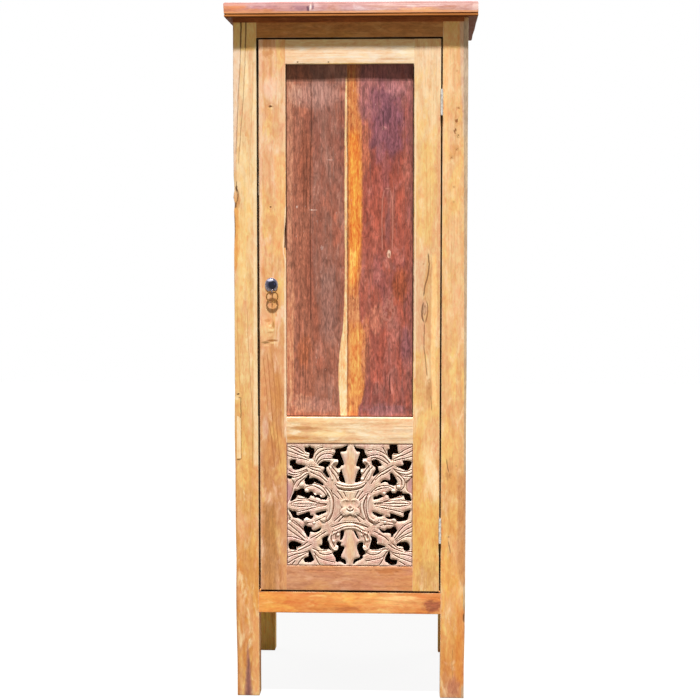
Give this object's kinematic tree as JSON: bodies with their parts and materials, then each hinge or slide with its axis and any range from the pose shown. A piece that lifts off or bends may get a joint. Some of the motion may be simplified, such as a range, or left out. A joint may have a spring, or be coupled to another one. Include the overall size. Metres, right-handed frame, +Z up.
{
  "type": "single-door wardrobe",
  "caption": "Tall narrow wardrobe on square legs with an overhanging plank top, a framed hinged door with a carved pierced panel, a ring pull, a hat shelf and a hanging rail.",
  "frame": {"origin": "on the floor under the middle of the top", "axes": "+Z up, +X to the right seen from the front, the door faces -Y"},
  "size_m": [0.648, 0.52, 1.8],
  "materials": {
    "post_wood": "waxed",
    "patch_wood": "waxed",
    "top_wood": "waxed",
    "cornice_wood": "waxed",
    "rail_wood": "waxed",
    "side_panel_wood": "waxed",
    "back_wood": "waxed",
    "inside_wood": "waxed",
    "door_wood": "waxed",
    "left_panel_wood": "waxed",
    "right_panel_wood": "waxed",
    "carving_wood": "waxed",
    "hinge_steel": "satin",
    "rail_steel": "satin",
    "catch_plastic": "matte",
    "magnet": "matte",
    "pull_iron": "satin",
    "ring_bronze": "aged"
  },
  "bodies": {
    "carcase": {"front_left_post": "post_wood", "front_right_post": "post_wood", "rear_left_post": "post_wood", "rear_right_post": "post_wood", "left_post_patch": "patch_wood", "top_front_board": "top_wood", "top_middle_board": "top_wood", "top_rear_board": "top_wood", "front_cornice_strip": "cornice_wood", "front_top_rail": "rail_wood", "front_bottom_rail": "rail_wood", "rear_top_rail": "rail_wood", "rear_bottom_rail": "rail_wood", "left_side_top_rail": "rail_wood", "left_side_middle_rail": "rail_wood", "left_side_bottom_rail": "rail_wood", "right_side_top_rail": "rail_wood", "right_side_middle_rail": "rail_wood", "right_side_bottom_rail": "rail_wood", "left_side_upper_panel": "side_panel_wood", "left_side_lower_panel": "side_panel_wood", "right_side_upper_panel": "side_panel_wood", "right_side_lower_panel": "side_panel_wood", "back_left_board": "back_wood", "back_middle_board": "back_wood", "back_right_board": "back_wood", "floor_front_board": "inside_wood", "floor_rear_board": "inside_wood", "left_floor_cleat": "inside_wood", "right_floor_cleat": "inside_wood", "hat_shelf": "inside_wood", "left_shelf_cleat": "inside_wood", "right_shelf_cleat": "inside_wood", "top_glue_blocks": "inside_wood", "upper_hinge_post_leaf": "hinge_steel", "upper_hinge_pin": "hinge_steel", "lower_hinge_post_leaf": "hinge_steel", "lower_hinge_pin": "hinge_steel", "carcase_screws": "hinge_steel", "hanging_rail": "rail_steel", "left_rail_socket": "rail_steel", "right_rail_socket": "rail_steel", "catch_housing": "catch_plastic", "catch_magnet": "magnet"},
    "door": {"door_left_stile": "door_wood", "door_right_stile": "door_wood", "door_top_rail": "door_wood", "door_middle_rail": "door_wood", "door_bottom_rail": "door_wood", "door_left_panel_board": "left_panel_wood", "door_right_panel_board": "right_panel_wood", "carved_panel": "carving_wood", "upper_hinge_door_leaf": "hinge_steel", "lower_hinge_door_leaf": "hinge_steel", "door_screws": "hinge_steel", "strike_plate": "hinge_steel", "pull_rose": "pull_iron", "pull_washer": "hinge_steel", "pull_nut": "hinge_steel"},
    "ring": {"pull_ring": "ring_bronze"}
  },
  "joints": [
    {"name": "door_swing", "type": "hinge", "parent": "carcase", "child": "door", "pos_m": [0.23325, -0.24175, 0.9975], "axis": [0, 0, 1], "range_deg": [0, 170]},
    {"name": "ring_swing", "type": "hinge", "parent": "door", "child": "ring", "pos_m": [-0.2035, -0.2442, 1.0676], "axis": [-1, 0, 0], "range_deg": [-6, 95]}
  ]
}
